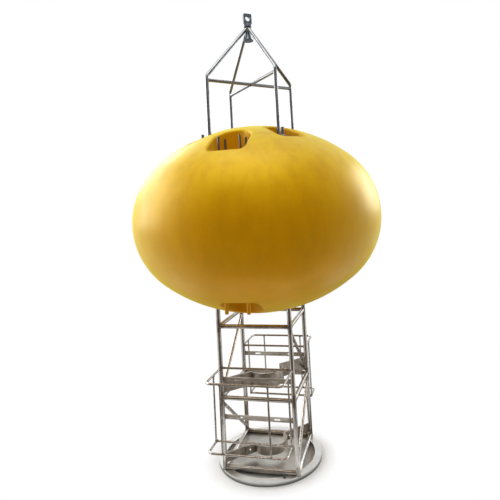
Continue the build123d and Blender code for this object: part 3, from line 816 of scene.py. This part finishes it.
def cage_welds():
    """Ring tubes, braces, flat bars and clamp gussets on the legs, and the legs on the base."""
    low, mid, top = RING_HEIGHTS
    paths = []
    for first, second in SIDES.values():
        for ring in RING_HEIGHTS:
            paths += span_welds(first, ring, second, ring, lambda way: ring_outline(way, RING_R))
    brace_r = half_size("brace_right_upper").x
    # upper corner, its height, lower corner, its height
    for upper, upper_z, lower, lower_z in (
        ("front_right", top - BRACE_DROP, "back_right", mid + BRACE_DROP),
        ("back_right", mid - BRACE_DROP, "front_right", low + BRACE_DROP),
        ("back_left", top - BRACE_DROP, "front_left", mid + BRACE_DROP),
        ("front_left", mid - BRACE_DROP, "back_left", low + BRACE_DROP),
    ):
        paths += span_welds(upper, upper_z, lower, lower_z, lambda way: ring_outline(way, brace_r))
    # flat bar, side of the cage that it spans
    for bar, side in (
        ("flat_bar_front_high", "front"),
        ("flat_bar_front_low", "front"),
        ("flat_bar_back_high", "back"),
    ):
        first, second = SIDES[side]
        height = middle(bar).z
        size = half_size(bar)
        outline = strip_outline(Vector((0, 1, 0)), size.y, size.z)
        paths += span_welds(first, height, second, height, lambda way: outline)
    # A gusset lies on one side of the line from the axis to its leg
    gusset_side = Vector((-1, 1, 0)).normalized()
    for clamp in ("mid", "low"):
        for corner in ("front_left", "back_right"):
            gusset = f"clamp_{clamp}_gusset_{corner}"
            end = corner_place(corner, middle(gusset).z)
            way = Vector((end.x, end.y, 0)).normalized()
            start = Vector((end.x / 2, end.y / 2, end.z)) + gusset_side * CLAMP_PLATE / 2
            outline = strip_outline(gusset_side, CLAMP_PLATE / 2, half_size(gusset).z)
            paths.append(saddle(start, way, outline, end, UP, LEG_R))
    for corner in CORNERS:
        foot = corner_place(corner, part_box(f"leg_{corner}")[0].z)
        paths.append([foot + offset for offset in ring_outline(UP, LEG_R)])
    return paths


def guard_welds():
    """Hoops, bars and uprights of the two guards."""
    paths = []
    for face, way_out in (("front", -1), ("back", 1)):
        out = Vector((0, way_out, 0))
        top_z = middle(f"guard_{face}_top_hoop").z
        low_z = middle(f"guard_{face}_low_hoop").z
        wire_r = half_size(f"guard_{face}_top_hoop").z
        bar_r = half_size(f"guard_{face}_top_bar").y
        first, second = SIDES[face]
        paths += span_welds(first, top_z, second, top_z, lambda way: ring_outline(way, bar_r))
        for corner in (first, second):
            end = corner_place(corner, top_z)
            paths.append(saddle(end + out * HALF, -out, ring_outline(out, wire_r), end, UP, LEG_R))
        inner_y = middle(f"guard_{face}_low_bar").y
        bar_middle = Vector((0, inner_y, low_z))
        for side in (-1, 1):
            way = Vector((side, 0, 0))
            hoop_side = Vector((side * HALF, inner_y, low_z))
            paths.append(saddle(bar_middle, way, ring_outline(way, wire_r), hoop_side, out, wire_r))
        upright_low, upright_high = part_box(f"guard_{face}_uprights")
        upright_r = upright_high.x - HALF
        outer_y = way_out * (max(abs(upright_low.y), abs(upright_high.y)) - upright_r)
        middle_y = way_out * (min(abs(upright_low.y), abs(upright_high.y)) + upright_r)
        for x, y in ((HALF, middle_y), (GUARD_UPRIGHT_X, outer_y)):
            for side in (1, -1):
                for z in (upright_low.z, upright_high.z):
                    end = Vector((side * x, y, z))
                    paths.append([end + offset for offset in ring_outline(UP, upright_r)])
    return paths


def lifting_welds():
    """Rods on their feet and on the head's neck, and the cross bars."""
    paths = []
    bar_z = middle("cross_bar_long").z
    bar_r = half_size("cross_bar_long").z
    rod_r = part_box("lifting_rod_front_right")[1].x - HALF
    head_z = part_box("head")[0].z
    apex = Vector((0, 0, head_z + ROD_APEX_RISE))
    centre = Vector((0, 0, bar_z))
    long_way = corner_place("back_right", 0).normalized()
    for corner in CORNERS:
        foot = corner_place(corner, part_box(f"foot_{corner}")[1].z)
        paths.append([foot + offset for offset in ring_outline(UP, rod_r)])
        bend = corner_place(corner, bar_z + CROSS_BAR_DROP)
        way = (apex - bend).normalized()
        paths.append(saddle(bend, way, ring_outline(way, rod_r), Vector(), UP, HEAD_NECK_R))
        out = corner_place(corner, 0).normalized()
        outline = ring_outline(out, bar_r)
        paths.append(saddle(centre, out, outline, corner_place(corner, 0), UP, rod_r))
        on_long_bar = abs(out.dot(long_way)) > 0.5
        if not on_long_bar:
            paths.append(saddle(centre + out * HALF, -out, outline, centre, long_way, bar_r))
    return paths


def build_welds():
    """One piece for each part of the frame, so that none grows too large."""
    tree = bead_tree()
    sizes = {"Pitch": BEAD_PITCH, "Width": BEAD_WIDTH, "Seed": BEAD_SEED}
    for name, paths, slot in (
        ("weld_beads_cage", cage_welds(), "satin_stainless"),
        ("weld_beads_guards", guard_welds(), "satin_stainless"),
        ("weld_beads_lifting_frame", lifting_welds(), "dark_stainless"),
    ):
        points = []
        edges = []
        for path in paths:
            first = len(points)
            points += path
            edges += [(first + i, first + (i + 1) % len(path)) for i in range(len(path))]
        grow(name, points, edges, tree, sizes)


# Nuts, washers and coated rod ends

def tie_rod_places():
    """Each tie rod's X and Y, and whether it is one of the outer pair in its pocket."""
    places = []
    for face, way_out in (("front", -1), ("back", 1)):
        low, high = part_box(f"tie_rods_{face}")
        outer = max(abs(low.y), abs(high.y)) - TIE_ROD_R
        inner = min(abs(low.y), abs(high.y)) + TIE_ROD_R
        for x in (low.x + TIE_ROD_R, high.x - TIE_ROD_R):
            places.append((x, way_out * outer, True))
            places.append((x, way_out * inner, False))
    return places


def build_fasteners():
    """Nuts and washers on the tie rods, at both ends, and on the corner studs."""
    tree = nut_tree()
    rods = tie_rod_places()
    top_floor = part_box("tie_rods_front")[1].z - TIE_ROD_ABOVE
    stud_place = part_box("corner_studs")[1].x - STUD_R
    foot_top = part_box("foot_front_left")[1].z
    stud_points = [(x * stud_place, y * stud_place, foot_top) for x in (-1, 1) for y in (-1, 1)]
    top_points = [(x, y, top_floor) for x, y, _ in rods]
    low_points = [(x, y, LOW_CEILING_Z) for x, y, outer in rods if not outer]
    for name, points, sizes, over in (
        ("tie_rod_nuts_top", top_points, TIE_NUT, 0.0),
        ("tie_rod_nuts_low", low_points, TIE_NUT, pi),
        ("corner_stud_nuts", stud_points, STUD_NUT, 0.0),
    ):
        grow(name, points, [], tree, {**sizes, "Turn Over": over, "Seed": NUT_SEED})


def build_coated_ends():
    """Outer tie rods' low ends: sleeves with round tips, sprayed over with the float."""
    tip_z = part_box("tie_rods_front")[0].z - COATED_OVER
    tip_height = COATED_R * COATED_TIP
    profile = [(COATED_R * share, LOW_CEILING_Z - drop) for share, drop in COATED_COLLAR]
    for i in range(COATED_TIP_STEPS):
        turn = pi / 2 * i / COATED_TIP_STEPS
        profile.append((COATED_R * cos(turn), tip_z + tip_height * (1 - sin(turn))))
    turns = [2 * pi * i / COATED_STEPS for i in range(COATED_STEPS)]
    points = []
    faces = []
    for x, y, outer in tie_rod_places():
        if not outer:
            continue
        first = len(points)
        points += [(x + r * cos(t), y + r * sin(t), z) for r, z in profile for t in turns]
        faces.append(tuple(range(first, first + COATED_STEPS)))
        last = first + (len(profile) - 1) * COATED_STEPS
        for ring in range(first, last, COATED_STEPS):
            for i in range(COATED_STEPS):
                a = ring + i
                b = ring + (i + 1) % COATED_STEPS
                faces.append((a, a + COATED_STEPS, b + COATED_STEPS, b))
        tip = len(points)
        points.append((x, y, tip_z))
        faces += [(last + i, tip, last + (i + 1) % COATED_STEPS) for i in range(COATED_STEPS)]
    mesh = bpy.data.meshes.new("coated_rod_ends")
    mesh.from_pydata(points, [], faces)
    for face in mesh.polygons:
        # All but the flat top, which has a side for each step
        face.use_smooth = face.loop_total < COATED_STEPS
    mesh.materials.append(finishes["float"])
    ends = add_object("coated_rod_ends", mesh)
    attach(ends, "frame")


build_welds()
build_fasteners()
build_coated_ends()


# Stage, light and camera

def white_to_view(tree):
    """1 for what is seen directly, in gloss or through glass, and 0 for what lights matt surfaces."""
    path = tree.nodes.new("ShaderNodeLightPath").outputs
    pair = node(
        tree, "ShaderNodeMath", {"operation": "ADD"},
        input_0=path["Is Camera Ray"], input_1=path["Is Glossy Ray"],
    )
    seen = node(
        tree, "ShaderNodeMath", {"operation": "ADD", "use_clamp": True},
        input_0=pair.outputs[0], input_1=path["Is Transmission Ray"],
    )
    return seen.outputs[0]


def white_floor():
    """White floor: a painted shadow under the base, shaded close to it, and fading to the white of the world.
    """
    material = bpy.data.materials.new("white_floor")
    material.use_nodes = True
    tree = material.node_tree
    tree.nodes.clear()
    place = tree.nodes.new("ShaderNodeTexCoord").outputs["Object"]
    length = node(tree, "ShaderNodeVectorMath", {"operation": "LENGTH"}, input_0=place).outputs["Value"]
    share = node(
        tree, "ShaderNodeMapRange", Value=length,
        From_Min=SHADOW_FADE[0], From_Max=SHADOW_FADE[1], To_Min=0.0, To_Max=1.0,
    )
    outside = node(
        tree, "ShaderNodeMapRange", Value=length,
        From_Min=BASE_INSIDE_R, From_Max=BASE_INSIDE_R + BASE_SHADE, To_Min=0.0, To_Max=1.0,
    )
    # Painted shadow: the floor seen under the base is greyer than the rest
    seen = node(
        tree, "ShaderNodeMix", {"data_type": "RGBA"},
        input_0=outside.outputs["Result"], input_6=linear("#DCDCD8"), input_7=linear("#F2F2F0"),
    )
    view = white_to_view(tree)
    factor = node(
        tree, "ShaderNodeMath", {"operation": "MULTIPLY"}, input_0=share.outputs["Result"], input_1=view,
    )
    paint = node(
        tree, "ShaderNodeMix", {"data_type": "RGBA"},
        input_0=view, input_6=linear("#ECECE8"), input_7=seen.outputs[2],
    )
    matt = node(tree, "ShaderNodeBsdfDiffuse", Color=paint.outputs[2])
    glow = node(tree, "ShaderNodeEmission", Color=linear(1.0), Strength=1.0)
    mix = node(
        tree, "ShaderNodeMixShader",
        input_0=factor.outputs[0], input_1=matt.outputs[0], input_2=glow.outputs[0],
    )
    node(tree, "ShaderNodeOutputMaterial", Surface=mix.outputs[0])
    return material


def build_floor():
    """One wide square under the buoy."""
    mesh = bpy.data.meshes.new("floor")
    corners = [(-1, -1), (1, -1), (1, 1), (-1, 1)]
    mesh.from_pydata([(x * FLOOR_REACH, y * FLOOR_REACH, 0) for x, y in corners], [], [(0, 1, 2, 3)])
    mesh.materials.append(white_floor())
    add_object("floor", mesh)


def dark_felt():
    """Dark brown felt of the cards: matt all over."""
    material = bpy.data.materials.new("dark_felt")
    material.use_nodes = True
    tree = material.node_tree
    connect(tree, tree.nodes["Principled BSDF"], Base_Color=linear("#675C4E"), Roughness=0.95)
    return material


def build_card(name, facing, spread, profile, felt):
    """A card swept round the buoy, seen only in gloss. profile is its distance and height, in steps."""
    turns = [radians(facing - spread + 2 * spread * i / CARD_STEPS) for i in range(CARD_STEPS + 1)]
    points = [(r * sin(t), -r * cos(t), z) for t in turns for r, z in profile]
    row = len(profile)
    faces = [
        (i * row + j, (i + 1) * row + j, (i + 1) * row + j + 1, i * row + j + 1)
        for i in range(CARD_STEPS) for j in range(row - 1)
    ]
    mesh = bpy.data.meshes.new(name)
    mesh.from_pydata(points, [], faces)
    mesh.materials.append(felt)
    card = add_object(name, mesh)
    card.visible_camera = False
    card.visible_diffuse = False
    card.visible_shadow = False


def build_cards():
    """A floor card with a wall on the camera's side, a floor card at the back and one below the float."""
    felt = dark_felt()
    far_edge = (CARD_R, CARD_LIFT)
    front = [(CARD_NEAR, CARD_LIFT), far_edge, (CARD_R, CARD_HEIGHT)]
    under = [(reach, CARD_LIFT) for reach in UNDER_CARD]
    back_facing = CAMERA_AZIMUTH + 180
    build_card("front_card", CAMERA_AZIMUTH, CARD_SPREAD, front, felt)
    build_card("back_card", back_facing, CARD_SPREAD, [under[-1], far_edge], felt)
    build_card("under_card", back_facing, UNDER_SPREAD, under, felt)


def build_world():
    """White to the camera and to reflections, a plain grey fill to everything else."""
    world = bpy.data.worlds.new("white_surround")
    bpy.context.scene.world = world
    world.use_nodes = True
    tree = world.node_tree
    tree.nodes.clear()
    fill = node(tree, "ShaderNodeBackground", Color=linear(1.0), Strength=WORLD_FILL)
    white = node(tree, "ShaderNodeBackground", Color=linear(1.0), Strength=1.0)
    mix = node(
        tree, "ShaderNodeMixShader",
        input_0=white_to_view(tree), input_1=fill.outputs[0], input_2=white.outputs[0],
    )
    node(tree, "ShaderNodeOutputWorld", Surface=mix.outputs[0])


def build_lamps():
    """Square soft boxes that face the float."""
    for name, place, size, power in LAMPS:
        lamp = bpy.data.lights.new(name, "AREA")
        lamp.shape = "SQUARE"
        lamp.size = size
        lamp.energy = power
        box = add_object(name, lamp)
        box.location = place
        box.rotation_euler = (FLOAT_MID - Vector(place)).to_track_quat("-Z", "Y").to_euler()


def build_camera():
    """The photograph's camera, turned to its heading, then tilted and rolled."""
    data = bpy.data.cameras.new("camera")
    data.sensor_width = CAMERA_SENSOR
    data.lens = CAMERA_LENS
    data.shift_x, data.shift_y = CAMERA_SHIFT
    camera = add_object("camera", data)
    turn = radians(CAMERA_AZIMUTH)
    place = Matrix.Translation((sin(turn) * CAMERA_DISTANCE, -cos(turn) * CAMERA_DISTANCE, CAMERA_HEIGHT))
    heading = Matrix.Rotation(radians(CAMERA_HEADING), 4, "Z")
    tilt = Matrix.Rotation(radians(90 + CAMERA_LOOK_UP), 4, "X")
    roll = Matrix.Rotation(radians(CAMERA_ROLL), 4, "Z")
    camera.matrix_world = place @ heading @ tilt @ roll
    bpy.context.scene.camera = camera


build_floor()
build_cards()
build_world()
build_lamps()
build_camera()
bpy.context.scene.view_settings.view_transform = "Standard"
